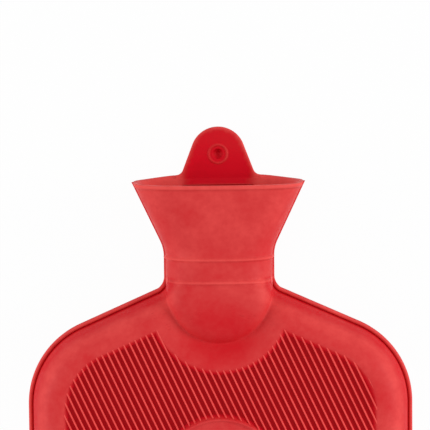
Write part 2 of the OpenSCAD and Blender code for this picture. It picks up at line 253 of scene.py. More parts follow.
def shape_line(d, end_x, w, low, line, top_r, low_r):
    """Right half of the line at distance d inside a shape with round corners, from its foot."""
    bend_x, bend_y = bend_centre(w, line, top_r)
    end_y = (line - d - along_shoulder[0] * end_x) / along_shoulder[1]
    bend = arc(bend_x, bend_y, top_r - d, 0, 90 - math.degrees(shoulder_rise), 30)
    return np.concatenate([
        straight((0.0005, low + d), (w - low_r, low + d), 30)[:-1],
        arc(w - low_r, low + low_r, low_r - d, -90, 0, 34)[:-1],
        straight((w - d, low + low_r), (w - d, bend_y), 60)[:-1],
        bend[:-1],
        straight(bend[-1], (end_x, end_y), 16),
    ])


def edge_line(d, with_web=True):
    """Right half of the line at distance d inside the flange's edge, from foot to neck."""
    line = shape_line(d, kink_at[0] - d * along_shoulder[0], *bladder)
    if not with_web:
        return line
    lean = 270 - math.degrees(shoulder_rise)
    turn = arc(*kink_at, d, lean, math.degrees(kink), 5)[:-1] if d > 0 else line[:0]
    return np.concatenate([line[:-1], turn, arc(web_x, web_y, web_r + d, math.degrees(kink), 180, 14)])


# Angles round each section of the neck and funnel, close together at the seam, where the
# first five carry the flash line: a flat fin with a trimmed ridge on its inner side
flash_line = ((1.0, 0.0), (0.85, 0.5), (0.45, 0.65), (0.25, 1.0), (0.0, 0.9))
quarter = np.array([
    0, 0.4, 0.8, 1.2, 1.7, 3, 5, 7.5, 10.5, 14, 18, 22, 27, 32, 37, 42, 48, 54, 60, 66, 72, 78, 84,
])
half_turn = np.concatenate([quarter, [90], 180 - quarter[:0:-1]])
ring_angles = np.radians(np.concatenate([half_turn, [180], 360 - half_turn[:0:-1]]))


def section(y, w, front, back, square, flash=0.0):
    """Ring of points at height y, a squared ellipse with the flash line on its two sides."""
    c = np.cos(ring_angles)
    s = np.sin(ring_angles)
    x = w * np.sign(c) * np.abs(c) ** (2 / square)
    z = np.where(s > 0, front, back) * np.sign(s) * np.abs(s) ** (2 / square)
    if flash > 0:
        n = len(ring_angles)
        for i, (out, up) in enumerate(flash_line):
            for k, side, face in ((i, 1, 1), (-i, 1, -1), (n // 2 - i, -1, 1), (n // 2 + i, -1, -1)):
                x[k % n] = side * (w + out * flash)
                z[k % n] = face * up * flash_h
    return np.stack([x, np.full_like(x, y), z], 1)


def round_section(y, r):
    return section(y, r, r, r, 2)


# The skin's points and faces, which the next steps fill
skin_points = []
skin_faces = []


def add_points(points):
    first = len(skin_points)
    skin_points.extend(np.asarray(points).tolist())
    return list(range(first, len(skin_points)))


def ring_faces(a, b):
    """Faces between two rings of points, all the way round."""
    return [(a[i - 1], a[i], b[i], b[i - 1]) for i in range(len(a))]


def next_ring(points):
    """Adds a ring to the skin and joins it to the one before."""
    level = add_points(points)
    skin_faces.extend(ring_faces(last_ring, level))
    last_ring[:] = level


def fill(outline, lines, spots):
    """Triangles that fill an outline and keep the given lines and spots: points and faces."""
    points = [tuple(p) for p in outline]
    edges = []
    for line in lines:
        first = len(points)
        points.extend(tuple(p) for p in line)
        edges.extend((i, i + 1) for i in range(first, len(points) - 1))
    tree = kdtree.KDTree(len(points))
    for i, p in enumerate(points):
        tree.insert((p[0], p[1], 0), i)
    tree.balance()
    for x, y, gap in spots:
        if tree.find((x, y, 0))[2] > gap:
            points.append((x, y))
    edges.extend((i, (i + 1) % len(outline)) for i in range(len(outline)))
    result = delaunay_2d_cdt([Vector(p) for p in points], edges, [], 0, 1e-6, True)
    place = np.array([[p.x, p.y] for p in result[0]])
    origin = {i: number for number, found in enumerate(result[3]) for i in found}
    border = [origin[i] for i in range(len(outline))]
    return place, inner_faces([tuple(f) for f in result[2]], border), border


def inner_faces(faces, border):
    """The faces inside a border that runs against the clock, reached from face to face."""
    beside = {}
    for number, f in enumerate(faces):
        for k in range(3):
            beside[f[k], f[(k + 1) % 3]] = number
    fence = set(zip(border, border[1:] + border[:1]))
    waiting = [beside[edge] for edge in fence]
    found = set(waiting)
    while waiting:
        f = faces[waiting.pop()]
        for k in range(3):
            edge = (f[k], f[(k + 1) % 3])
            other = beside.get(edge[::-1])
            if edge not in fence and other is not None and other not in found:
                found.add(other)
                waiting.append(other)
    return [faces[i] for i in sorted(found)]


def half_of_skin(front):
    """One moulded half up to the cut: its points, faces, border, and two counts on the border."""
    side = edge_line(0.0)
    cut = section(cut_y, neck_w, neck_d, neck_d, neck_square, flash_w)[: len(ring_angles) // 2 + 1]
    neck_edge = straight((neck_side, web_y), (neck_side, cut_y), 4)[1:-1]
    right = np.concatenate([side, neck_edge])
    outline = np.concatenate([right, cut[:, :2], right[::-1] * (-1, 1)])
    lines = []
    bead_rows = bead_w * np.array([0.05, 0.17, 0.35, 0.55, 0.75, 0.9, 0.98])
    groove_rows = edge_start + np.array([-0.00055, -0.0001, 0.0001, 0.0005, 0.0011, 0.002])
    skin_rows = edge_start + np.array([0.0032, 0.0048, 0.0068, 0.0092, 0.012])
    for d in np.concatenate([bead_rows, groove_rows, skin_rows]):
        lines.append(edge_line(d, d < edge_start + 0.0012))
    if front:
        for step in (-0.4, 0, 0.4):
            lines.append(shape_line(step * rib_runout, 0.0005, *panel))
    lines.extend([line * (-1, 1) for line in lines])
    for k in range(1, len(quarter) - 4):
        x = cut[k, 0]
        low = tongue_y - (0.004 if x > 0.8 * neck_w else 0.0)
        lines.append(straight((x, cut_y), (x, low), 16))
        lines.append(straight((-x, cut_y), (-x, low), 16))
    for step in (-0.55, -0.4, -0.2, 0, 0.2, 0.4, 0.55):
        y = ridge_y + step * ridge_w
        lines.append(straight((-neck_w, y), (neck_w, y), 90))
    if front:
        for out in (-0.0022, -0.0016, -0.0012, -0.0008, -0.0003, 0.0, 0.0003, 0.0012, 0.002):
            lines.append(arc(0, medallion_y, medallion_r + out, 0, 360, 181))
        for out in (-0.0015, -0.0005, 0.0005, 0.0015):
            ring = arc(0, dip_y, dip_r + out, 180, 360, 121)
            lines.append(ring[inside_edge(*ring.T) > edge_end])
    for r in (0.0225, 0.0238, 0.0247, 0.0254, 0.026, 0.0265, 0.027, 0.0274):
        ring = arc(0, tongue_y, r, 180, 360, 91)
        lines.append(ring[inside_edge(*ring.T) > edge_start + 0.0003])
    spots = []
    fine_area = (fine_gap, fine_y, cut_y - 0.0005, fine_w, fine_margin)
    open_area = (open_gap, 0.0, ridge_y - 0.003, half_w, open_margin)
    for gap, low, high, wide, margin in (fine_area, open_area):
        for row, y in enumerate(np.arange(low, high, gap * 0.87)):
            for x in np.arange(-wide + (row % 2) * gap / 2, wide, gap):
                in_fine = gap > fine_gap and y > fine_y and abs(x) < fine_w
                on_ridge = abs(y - ridge_y) < ridge_w and abs(x) < neck_w
                if not (in_fine or on_ridge or inside_edge(x, y) < margin):
                    spots.append((x, y, gap * 0.6))
    place, faces, border = fill(outline, lines, spots)
    z = half_height(place[:, 0], place[:, 1], front)
    z[border[: len(right)]] = 0
    z[border[len(right) + len(cut):]] = 0
    for i, p in zip(border[len(right):], cut):
        z[i] = p[2]
    points = np.column_stack([place, z if front else -z])
    return points, faces, border, len(right), len(cut)


front_points, front_faces, front_border, right_n, cut_n = half_of_skin(True)
back_points, back_faces, back_border, right_n, cut_n = half_of_skin(False)
front_index = add_points(front_points)
skin_faces.extend(tuple(front_index[i] for i in f) for f in front_faces)
# The halves share the points of their common edge, apart from the open cut across the neck
shared = {b: front_index[f] for f, b in zip(front_border, back_border)}
for i in range(right_n + 1, right_n + cut_n - 1):
    shared.pop(back_border[i])
back_index = []
for i, p in enumerate(back_points):
    if i in shared:
        back_index.append(shared[i])
    else:
        back_index.extend(add_points([p]))
skin_faces.extend(tuple(back_index[i] for i in f)[::-1] for f in back_faces)
neck_front = [front_index[front_border[right_n + k]] for k in range(cut_n)]
neck_back = [back_index[back_border[right_n + k]] for k in range(cut_n)]
last_ring = neck_front + neck_back[-2:0:-1]


def above_foot(y):
    """A height of the frame, measured from the bottle's foot to the nearest micrometre."""
    return round(y - foot_y, 6)


# Funnel: the sides curve out of the neck and run straight to the rim. In the frame the top of
# the bottle, which is its tab, stands rim_drop above the rim
rim_drop = 0.0261
rim_y = above_foot(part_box("bottle")[1].y) - rim_drop
funnel_y = upper_ridge_y + ridge_w / 2
flare_h = 0.0386
flare_y = rim_y - flare_h
flare_r = 0.0185
flare_angle = math.radians(25.3)
rim_front = 0.0275
rim_back = 0.0228
rim_square = 3.0
funnel_wall = 0.003
lip_h = 0.0021
lip_out = 0.0012
back_rise = 0.0017
back_rise_h = 0.012
back_rise_w = 0.043
back_rise_d = 0.012
back_rise_fade = 0.024
rim_bevel = 0.0008


def flare(y):
    """How far the funnel's sides stand out of the neck at a height."""
    t = np.maximum(y - flare_y, 0)
    curve_h = flare_r * math.sin(flare_angle)
    curve = flare_r - np.sqrt(flare_r ** 2 - np.minimum(t, curve_h) ** 2)
    return curve + np.maximum(t - curve_h, 0) * math.tan(flare_angle)


def funnel_section(y, out, flash=0.0):
    """Section of the funnel. Near the rim its back wall rises a little towards the tab."""
    share = flare(y) / flare(rim_y)
    w = neck_w + flare(y) + out
    front = neck_d + (rim_front - neck_d) * share + out
    back = neck_d + (rim_back - neck_d) * share + min(out, 0)
    ring = section(y, w, front, back, neck_square + (rim_square - neck_square) * share, flash)
    rise = back_rise * smooth((y - rim_y) / back_rise_h + 1)
    rise = rise * smooth((back_rise_w - np.abs(ring[:, 0])) / back_rise_fade)
    ring[:, 1] += rise * smooth(-ring[:, 2] / back_rise_d)
    return ring


def lip_section(y, out):
    """Section of the rim, where the lip stands out in front and fades towards the seam."""
    plain = funnel_section(y, 0.0, flash_w)
    proud = funnel_section(y, out, flash_w)
    share = smooth(np.sin(ring_angles) * 2.2)[:, None]
    return plain * (1 - share) + proud * share


for up in (0.0015, 0.003, 0.0044):
    next_ring(section(cut_y + up, neck_w, neck_d, neck_d, neck_square, flash_w))
for step in (-1, -0.6, -0.25, 0, 0.25, 0.6, 1):
    rise = ridge_h * (1 - step ** 2)
    y = upper_ridge_y + step * ridge_w / 2
    depth = neck_d + rise
    next_ring(section(y, neck_w + rise, depth, depth, neck_square, max(flash_w - rise, 0.0002)))
for share in (0.02, 0.05, 0.09, 0.13, 0.18, 0.23, 0.28, 0.34, 0.42, 0.5, 0.6, 0.7, 0.8, 0.9):
    next_ring(funnel_section(funnel_y + share * (rim_y - funnel_y), 0.0, flash_w))
# Round front of the lip: shares of its height, down from the rim, and of how far it stands out
lip_round = (
    (1.15, 0), (1.05, 0.5), (0.88, 0.86), (0.66, 1), (0.4, 1), (0.18, 0.86), (0.05, 0.5), (0, 0.1),
)
for down, out in lip_round:
    next_ring(lip_section(rim_y - down * lip_h, out * lip_out))
for down, share in ((0, -0.3), (0, -0.6), (0.15, -0.9), (1.0, -1.0)):
    inner = rim_bevel + share * funnel_wall if down < 1 else -funnel_wall
    next_ring(funnel_section(rim_y - down * lip_h, inner))

# The funnel narrows to a round recess, in which the washer of the stopper seals
insert_r = 0.017
insert_waist_r = 0.01525
collar_w = 0.003
throat_r = 0.013
throat_y = 0.240
recess_r = 0.0175
bowl_h = 0.014
insert_y = above_foot(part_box("neck_insert")[0].y)
insert_top = above_foot(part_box("neck_insert")[1].y)
washer_top = above_foot(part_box("stopper_washer")[1].y)
for share in (0.8, 0.6, 0.4, 0.2):
    y = washer_top + bowl_h + share * (rim_y - washer_top - bowl_h - lip_h)
    next_ring(funnel_section(y, -funnel_wall))
for share in (1, 0.8, 0.64, 0.5, 0.36, 0.24, 0.14, 0.06, 0):
    y = washer_top + share * bowl_h
    t = (1 - share) ** 2
    next_ring(funnel_section(y, -funnel_wall) * (1 - t) + round_section(y, recess_r) * t)
seat = [
    (insert_top, recess_r),
    (insert_top, insert_r),
    (insert_top - collar_w, insert_r),
    (insert_top - collar_w, insert_waist_r),
    (insert_y + collar_w, insert_waist_r),
    (insert_y + collar_w, insert_r),
    (insert_y, insert_r),
    (insert_y, throat_r),
    (throat_y, throat_r),
]
for y, r in seat:
    next_ring(round_section(y, r))

# Water space: the same form as the outside, a wall's thickness further in
space_edge = edge_start + wall
space_top = 0.214


def space_width(y):
    if y < foot_r:
        return half_w - foot_r + math.sqrt((foot_r - space_edge) ** 2 - (foot_r - y) ** 2)
    if y < shoulder_y:
        return half_w - space_edge
    line = (shoulder_line - space_edge - along_shoulder[1] * y) / along_shoulder[0]
    r = shoulder_r - space_edge
    bend = shoulder_x + math.sqrt(max(r ** 2 - (y - shoulder_y) ** 2, 0))
    return bend if y < shoulder_y + r * along_shoulder[1] else line


# Heights of the sections, closer together at the throat and at the foot
space_y = [
    *np.linspace(throat_y - 0.002, 0.190, 13), *np.linspace(0.18, 0.03, 12), 0.018, 0.012, 0.0095, 0.008,
]
for y in space_y:
    share = float(smooth((y - space_top) / (throat_y - space_top)))
    rise = math.sqrt(1 - (1 - min((y - space_edge) / edge_w, 1)) ** 2)
    depth = float(crown(0, y) - dip(0, y) - wall) * rise
    w = space_width(y) * (1 - share) + throat_r * share
    depth = depth * (1 - share) + throat_r * share
    next_ring(section(y, w, depth, depth, 4 - 2 * share))
middle = add_points([(0, space_y[-1], 0)])[0]
skin_faces.extend((last_ring[i - 1], a, middle) for i, a in enumerate(last_ring))


def add_object(name, data):
    piece = bpy.data.objects.new(name, data)
    scene.collection.objects.link(piece)
    return piece


def make_piece(name, points, faces):
    """Mesh object from points in this section's axes, with its faces turned outwards."""
    mesh = bpy.data.meshes.new(name)
    place = np.asarray(points) + (0, foot_y, seam_z)
    mesh.from_pydata(place.tolist(), [], faces)
    shape = bmesh.new()
    shape.from_mesh(mesh)
    bmesh.ops.recalc_face_normals(shape, faces=shape.faces)
    for face in shape.faces:
        face.smooth = True
    shape.to_mesh(mesh)
    shape.free()
    return add_object(name, mesh)


bottle_shell = make_piece("bottle_shell", skin_points, skin_faces)

# Hanging tab on the back wall of the funnel, with a blind eyelet
tab_rise = 0.0270
tab_r = 0.0143
tab_side = math.radians(21)
tab_fillet = 0.004
tab_t = 0.0029
tab_bend_h = 0.012
tab_root = 0.005
tab_edge_r = 0.0011
eyelet_r = 0.0048
eyelet_bead_r = 0.00045
eyelet_hole_r = 0.0026
eyelet_depth = 0.0012
eyelet_pit_r = 0.0015
eyelet_pit = 0.0005

eye_y = rim_y + tab_rise - tab_r
tab_foot_y = rim_y + back_rise
tab_normal = (math.cos(tab_side), math.sin(tab_side))
fillet_x = (tab_normal[1] * (eye_y - tab_foot_y - tab_fillet) + tab_r + tab_fillet) / tab_normal[0]


def tab_line(inset):
    """Outline of the tab at a distance inside its edge, from its root round the top."""
    lean = math.degrees(tab_side)
    top = arc(0, eye_y, tab_r - inset, lean, 90, 26)
    fillet = arc(fillet_x, tab_foot_y + tab_fillet, tab_fillet + inset, 270, 180 + lean, 14)
    foot = straight((fillet_x, tab_foot_y - tab_root), fillet[0], 6)[:-1]
    side = straight(fillet[-1], top[0], 12)[1:-1]
    right = np.concatenate([foot, fillet, side, top])
    return np.concatenate([right, right[-2::-1] * (-1, 1)])


def tab_middle(x, y):
    """Middle of the tab's thickness, which follows the round back wall at the tab's foot."""
    u = np.clip(np.abs(x) / (neck_w + flare(rim_y)), 0, 1)
    gap = rim_back * (1 - (1 - u ** rim_square) ** (1 / rim_square))
    return gap * (1 - smooth((y - tab_foot_y) / tab_bend_h)) - rim_back + funnel_wall / 2


def eyelet_height(x, y):
    r = np.hypot(x, y - eye_y)
    bead = eyelet_bead_r * np.sqrt(np.clip(1 - ((r - eyelet_r) / eyelet_bead_r) ** 2, 0, 1))
    hole = eyelet_depth * smooth((eyelet_hole_r + 0.0003 - r) / 0.0006)
    pit = eyelet_pit * smooth((eyelet_pit_r + 0.0002 - r) / 0.0005)
    return bead - hole - pit


def slab(line, middle, thick, edge_r, gap, relief, rounds):
    """Flat moulding with round edges: points and faces from line(inset), its outline.

    middle(x, y) is the middle of its thickness, relief(x, y) what stands out of its front, and
    rounds are the lines that the relief needs. The other points of its faces lie a gap apart.
    """
    points = []
    faces = []
    rings = []
    turns = np.radians((0, 22.5, 45, 67.5, 90))
    for side in (1, -1):
        for turn in turns[::-side]:
            ring = line(edge_r * (1 - math.cos(turn)))
            depth = side * (thick / 2 - edge_r + edge_r * math.sin(turn))
            rings.append(list(range(len(points), len(points) + len(ring))))
            points.extend(np.column_stack([ring, middle(*ring.T) + depth]).tolist())
    for a, b in zip(rings[:-1], rings[1:]):
        faces.extend(ring_faces(a, b))
    cap = line(edge_r)
    steps = [np.arange(low + 0.6 * gap, high, gap) for low, high in zip(cap.min(0), cap.max(0))]
    spots = [(x, y, 0.6 * gap) for y in steps[1] for x in steps[0]]
    for edge, side, lines in ((rings[0], 1, rounds), (rings[-1], -1, [])):
        place, found, border = fill(cap, lines, spots)
        number = {b: edge[i] for i, b in enumerate(border)}
        lift = relief(*place.T) if side > 0 else 0
        z = middle(*place.T) + side * thick / 2 + lift
        for i in sorted({i for face in found for i in face}):
            if i not in number:
                number[i] = len(points)
                points.append((place[i][0], place[i][1], z[i]))
        faces.extend(tuple(number[i] for i in face) for face in found)
    return points, faces


def plain_mesh(holder, name):
    """Mesh of an object as its modifiers shape it. The modifiers are then taken off."""
    bpy.context.view_layer.update()
    shaped = holder.evaluated_get(bpy.context.evaluated_depsgraph_get())
    mesh = bpy.data.meshes.new_from_object(shaped)
    holder.modifiers.clear()
    mesh.name = name
    mesh.materials.clear()
    mesh.polygons.foreach_set("material_index", [0] * len(mesh.polygons))
    return mesh


def unite(piece, other):
    """Makes two closed meshes one, as they come out of one mould."""
    join = piece.modifiers.new("join", "BOOLEAN")
    join.operation = "UNION"
    join.solver = "MANIFOLD"
    join.object = other
    piece.data = plain_mesh(piece, piece.name)
    bpy.data.objects.remove(other)


eyelet_radii = (0.0006, 0.0012, 0.0015, 0.0018, 0.0022, 0.0025, 0.0028, 0.0031, 0.0037)
bead_radii = eyelet_r + eyelet_bead_r * np.array([-1.1, -0.85, -0.4, 0, 0.4, 0.85, 1.1, 2.4, 4.2])
eyelet_rounds = [arc(0, eye_y, r, 0, 360, 61) for r in (*eyelet_radii, *bead_radii)]
hanging_tab = make_piece(
    "hanging_tab",
    *slab(tab_line, tab_middle, tab_t, tab_edge_r, 0.0015, eyelet_height, eyelet_rounds),
)
unite(bottle_shell, hanging_tab)

# Bloom, the pale film on the rubber, together with painted light in the same values: painted highlights
# # on raised edges and crests, painted shade in grooves and recesses, and little bloom on the tab
open_bloom = 0.6
margin_painted_sheen = 0.14
margin_in = 0.0082
steep_side_painted_shade = 0.25
bead_bloom = 0.5
bead_crest_painted_highlight = 0.3
flange_groove_painted_shade = 0.2
fold_painted_shade = 0.26
fold_y = 0.2215
fold_r = 0.026
ridge_painted_highlight = 0.3
funnel_bloom = 0.07
funnel_inside_painted_light = 0.9
lip_painted_highlight = 0.92
flash_fin_painted_shade = 0.4
tab_bloom = 0.08
tab_edge_painted_highlight = 0.55
tab_top_bloom = 0.12
eyelet_ring_painted_highlight = 0.32
eyelet_hole_painted_shade = 0.05


def bloom_and_painted_light_at(x, y, z):
    """Bloom with painted light and shade on each part of the skin, from the foot up to the tab."""
    d = inside_edge(x, y)
    front = z > 0
    on_bladder = y < web_y
    # The panel's grooves take no bloom and so the deep red of painted shade
    groove = np.where(front & on_bladder, groove_floor(x, y) / rib_depth, 0)
    bloom = open_bloom * (1 - groove)
    on_bead = on_bladder & (d < 0.9 * bead_w)
    in_groove = on_bladder & (d > bead_w - 0.0001) & (d < edge_start + 0.00015)
    # The steep side of the skin just inside the groove is darker: painted shade
    steep = smooth((d - edge_start) / 0.001) * smooth((edge_start + 0.004 - d) / 0.002)
    # A pale band about 8 mm inside the outline: a painted sheen
    band = smooth(1 - np.abs(d - margin_in) / 0.004)
    bloom = bloom + np.where(on_bladder, margin_painted_sheen * band - steep_side_painted_shade * steep, 0)
    # The bead is paler towards its crest: bloom with a painted highlight
    on_edge = smooth(2.2 * np.abs(z) / bead_h - 1)
    bloom = np.where(on_bead, bead_bloom + bead_crest_painted_highlight * on_edge, bloom)
    # The groove between bead and skin is dark red: painted shade
    bloom = np.where(in_groove, flange_groove_painted_shade, bloom)
    # The fold under the tongue is darker: painted shade
    fold_shade = smooth(1.3 - np.hypot(x, 1.2 * (y - fold_y)) / fold_r)
    bloom = bloom - fold_painted_shade * np.where(front & on_bladder, fold_shade, 0)
    # The upper sides of the neck ridges get a painted highlight
    for ridge in (ridge_y, upper_ridge_y):
        bloom = bloom + ridge_painted_highlight * smooth(1.2 - 2 * np.abs(y - ridge - 0.0002) / ridge_w)
    share = flare(y) / flare(rim_y)
    bloom = bloom + funnel_bloom * share
    square = neck_square + (rim_square - neck_square) * share
    depth = neck_d + np.where(front, rim_front - neck_d, rim_back - neck_d) * share
    around = (np.abs(x) / (neck_w + flare(y))) ** square + (np.abs(z) / depth) ** square
    behind = smooth((0.0205 - np.abs(x)) / 0.005) * smooth((y - rim_y) / 0.010 + 2) * (z < 0)
    # The inside of the funnel is made paler, painted light that lifts its shade, and the wall behind the
    # tab stays deep red
    inner = funnel_inside_painted_light + (tab_bloom - funnel_inside_painted_light) * behind
    bloom = np.where((y > washer_top) & (around < 0.9), inner, bloom)
    # The front of the lip gets a painted highlight
    bloom = np.where(front & (y > rim_y - lip_h) & (around > 0.85), lip_painted_highlight, bloom)
    # The trimmed ridge of the flash line gets a painted highlight, and the fin outside it painted shade
    on_flash = (y > web_y) & (np.abs(x) > neck_w + flare(y) + 0.0001) & (np.abs(z) < 1.1 * flash_h)
    bloom = np.where(on_flash, np.where(np.abs(z) > 0.8 * flash_h, 1.0, flash_fin_painted_shade), bloom)
    # The tab has a painted highlight on its edge and on the ring round its eyelet, is paler towards its
    # top, and its eyelet hole lies in painted shade
    r = np.hypot(x, y - eye_y)
    side_gap = tab_r - tab_normal[0] * np.abs(x) - tab_normal[1] * (y - eye_y)
    gap = np.where(y > eye_y + tab_normal[1] * r, tab_r - r, side_gap)
    tab = tab_bloom + tab_edge_painted_highlight * smooth(1.4 - gap / 0.0014)
    tab = tab + eyelet_ring_painted_highlight * smooth(1.6 - np.abs(r - eyelet_r) / 0.0005)
    tab = tab + tab_top_bloom * smooth((y - eye_y) / tab_r + 0.4)
    tab = np.where(r < eyelet_hole_r, eyelet_hole_painted_shade, tab)
    return np.where((y > tab_foot_y + 0.0005) & (z < 0), tab, bloom)


place = np.empty(3 * len(bottle_shell.data.vertices))
bottle_shell.data.vertices.foreach_get("co", place)
place = place.reshape(-1, 3) - (0, foot_y, seam_z)
# Pale film and painted light and shade, kept on each point for the material
bloom = bottle_shell.data.attributes.new("bloom", "FLOAT", "POINT")
bloom.data.foreach_set("value", np.clip(bloom_and_painted_light_at(*place.T), 0, 1))


def add_node(tree, kind, inputs=None, **settings):
    """Node with its settings, and with its inputs set to values or linked to other sockets."""
    node = tree.nodes.new(kind)
    for key, value in settings.items():
        setattr(node, key, value)
    for key, value in (inputs or {}).items():
        if isinstance(value, bpy.types.NodeSocket):
            tree.links.new(value, node.inputs[key])
        else:
            node.inputs[key].default_value = value
    return node


def made(tree, kind, inputs=None, **settings):
    """First output of a new node."""
    return add_node(tree, kind, inputs, **settings).outputs[0]


def maths(tree, operation, a, b=0.0):
    return made(tree, "ShaderNodeMath", {0: a, 1: b}, operation=operation)


def times(tree, a, b):
    return maths(tree, "MULTIPLY", a, b)


def new_finish(name, specular, metal=0.0):
    """Empty material: its name, its node tree, its shader and its place on the piece."""
    finish = bpy.data.materials.new(name)
    finish.use_nodes = True
    tree = finish.node_tree
    shader = tree.nodes["Principled BSDF"]
    shader.inputs["Specular IOR Level"].default_value = specular
    shader.inputs["Metallic"].default_value = metal
    return finish, tree, shader, add_node(tree, "ShaderNodeTexCoord").outputs["Object"]


def noise(tree, place, scale, detail=3.0, roughness=0.55):
    inputs = {"Vector": place, "Scale": scale, "Detail": detail, "Roughness": roughness}
    return made(tree, "ShaderNodeTexNoise", inputs)


def spread(tree, value, low, high):
    """Noise values, which mostly lie between 0.3 and 0.7, spread over a range."""
    inputs = {"Value": value, 1: 0.3, 2: 0.7, 3: low, 4: high}
    return made(tree, "ShaderNodeMapRange", inputs)


def colours(tree, value, stops):
    ramp = add_node(tree, "ShaderNodeValToRGB", {0: value})
    points = ramp.color_ramp.elements
    for _ in stops[2:]:
        points.new(0.5)
    for point, (position, colour) in zip(points, stops):
        point.position = position
        point.color = (*colour, 1)
    return ramp.outputs[0]


def coat(tree, shader, skin, roughness):
    tree.links.new(skin, shader.inputs["Base Color"])
    tree.links.new(roughness, shader.inputs["Roughness"])


def bump(tree, shader, height, strength, distance):
    inputs = {"Strength": strength, "Distance": distance, "Height": height}
    if shader.inputs["Normal"].links:
        inputs["Normal"] = shader.inputs["Normal"].links[0].from_socket
    tree.links.new(made(tree, "ShaderNodeBump", inputs), shader.inputs["Normal"])


def red_rubber():
    """Matte natural rubber, crimson where it is fresh and paler where the bloom lies on it. The same
    colours carry painted light: the palest are also painted highlights, the deepest painted shade.
    """
    finish, tree, shader, place = new_finish("matte_red_rubber", 0.12)
    amount = add_node(tree, "ShaderNodeAttribute", attribute_name="bloom").outputs["Fac"]
    patches = spread(tree, noise(tree, place, 55.0, 5.0, 0.62), -0.5, 0.5)
    fine = spread(tree, noise(tree, place, 330.0, 4.0, 0.6), -0.5, 0.5)
    mottle = maths(tree, "ADD", times(tree, patches, 0.3), times(tree, fine, 0.12))
    # Bloom that isn't there has no patches
    present = maths(tree, "MINIMUM", times(tree, amount, 1.7), 1.0)
    # The lowest stop is the deep red of painted shade in grooves and recesses, the highest the pale of
    # bloom with painted highlights
    skin = colours(tree, maths(tree, "ADD", amount, times(tree, mottle, present)), (
        (0.0, (0.47, 0.0, 0.005)),
        (0.08, (0.66, 0.0, 0.012)),
        (0.3, (0.63, 0.011, 0.017)),
        (0.6, (0.68, 0.042, 0.042)),
        (1.0, (0.84, 0.082, 0.074)),
    ))
    coat(tree, shader, skin, spread(tree, noise(tree, place, 140.0), 0.48, 0.62))
    bump(tree, shader, noise(tree, place, 90.0, 2.0), 0.25, 0.0006)
    bump(tree, shader, noise(tree, place, 1500.0, 2.0), 0.2, 0.0001)
    return finish


rubber = red_rubber()
bottle_shell.data.materials.append(rubber)
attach(bottle_shell, "bottle")
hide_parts("bottle")

# Ribs: narrow ridges cut into the front mould one beside another, all leaning the same way
# over the panel. They are one with the bladder's rubber and stand as high as its margin.
rib_pitch = 0.00311
rib_crest = 0.0006
rib_foot = 0.0013
rib_lean = math.radians(25.3)
rib_shift = 0.00105
rib_sink = 0.00015
rib_root = 0.0004
rib_edge_r = 0.00022
rib_reach = 0.132
# Painted highlight on the rib crests
rib_crest_painted_highlight = 1.0
rib_half_steps = 260
# The ribs run on under the panel's smooth margin by this much
rib_overrun = 0.0015


def along(tree, x=0.0, y=0.0, z=0.0):
    """Vector from numbers or sockets."""
    return made(tree, "ShaderNodeCombineXYZ", {0: x, 1: y, 2: z})


def sweep(tree, line, profile):
    """Closed body, made by a section that runs along lines."""
    return made(tree, "GeometryNodeCurveToMesh", {
        "Curve": line, "Profile Curve": profile, "Fill Caps": True,
    })


def grow(name, form, finish, sizes, area=None):
    """Object that a node tree makes from named sizes, kept as a plain mesh.

    form(tree, given) builds the shape from the tree's inputs. The tree ends with copies made
    real, shaded smooth, with their material.
    """
    tree = bpy.data.node_groups.new(name, "GeometryNodeTree")
    tree.interface.new_socket("Geometry", in_out="OUTPUT", socket_type="NodeSocketGeometry")
    inputs = [(label, "NodeSocketFloat", size) for label, size in sizes.items()]
    inputs.append(("Finish", "NodeSocketMaterial", finish))
    if area:
        inputs.append(("Area", "NodeSocketObject", area))
    values = {}
    for label, kind, value in inputs:
        socket = tree.interface.new_socket(label, in_out="INPUT", socket_type=kind)
        values[socket.identifier] = value
    given = tree.nodes.new("NodeGroupInput").outputs
    real = made(tree, "GeometryNodeRealizeInstances", {"Geometry": form(tree, given)})
    shaded = made(tree, "GeometryNodeSetShadeSmooth", {"Geometry": real})
    coated = {"Geometry": shaded, "Material": given["Finish"]}
    add_node(tree, "NodeGroupOutput", {0: made(tree, "GeometryNodeSetMaterial", coated)})
    holder = add_object(name + "_maker", bpy.data.meshes.new(name + "_maker"))
    modifier = holder.modifiers.new("shape", "NODES")
    modifier.node_group = tree
    for identifier, value in values.items():
        modifier[identifier] = value
    mesh = plain_mesh(holder, name)
    mesh.materials.append(finish)
    bpy.data.objects.remove(holder)
    return add_object(name, mesh)


def rib_area():
    """Flat sheet over the ribbed panel, which says where a rib is kept."""
    clear_r = dip_r - rib_overrun
    hole_r = medallion_r - 0.0006
    outer = shape_line(-rib_overrun, 0.0005, *panel)
    outer = outer[np.hypot(outer[:, 0], outer[:, 1] - dip_y) > clear_r + 0.0002]
    below_tongue = arc(0, dip_y, clear_r, 360, 180, 181)
    x, y = below_tongue.T
    line = panel[2] - along_shoulder[0] * np.abs(x) - along_shoulder[1] * y
    below_tongue = below_tongue[line > -rib_overrun]
    outline = np.concatenate([outer, below_tongue, outer[::-1] * (-1, 1)])
    place, faces, border = fill(outline, [arc(0, medallion_y, hole_r, 0, 360, 181)], [])
    middles = place[np.array(faces)].mean(1)
    kept = np.hypot(middles[:, 0], middles[:, 1] - medallion_y) > hole_r
    mesh = bpy.data.meshes.new("rib_area")
    points = [(x, y + foot_y, 0) for x, y in place]
    mesh.from_pydata(points, [], [f for f, keep in zip(faces, kept) if keep])
    return add_object("rib_area", mesh)


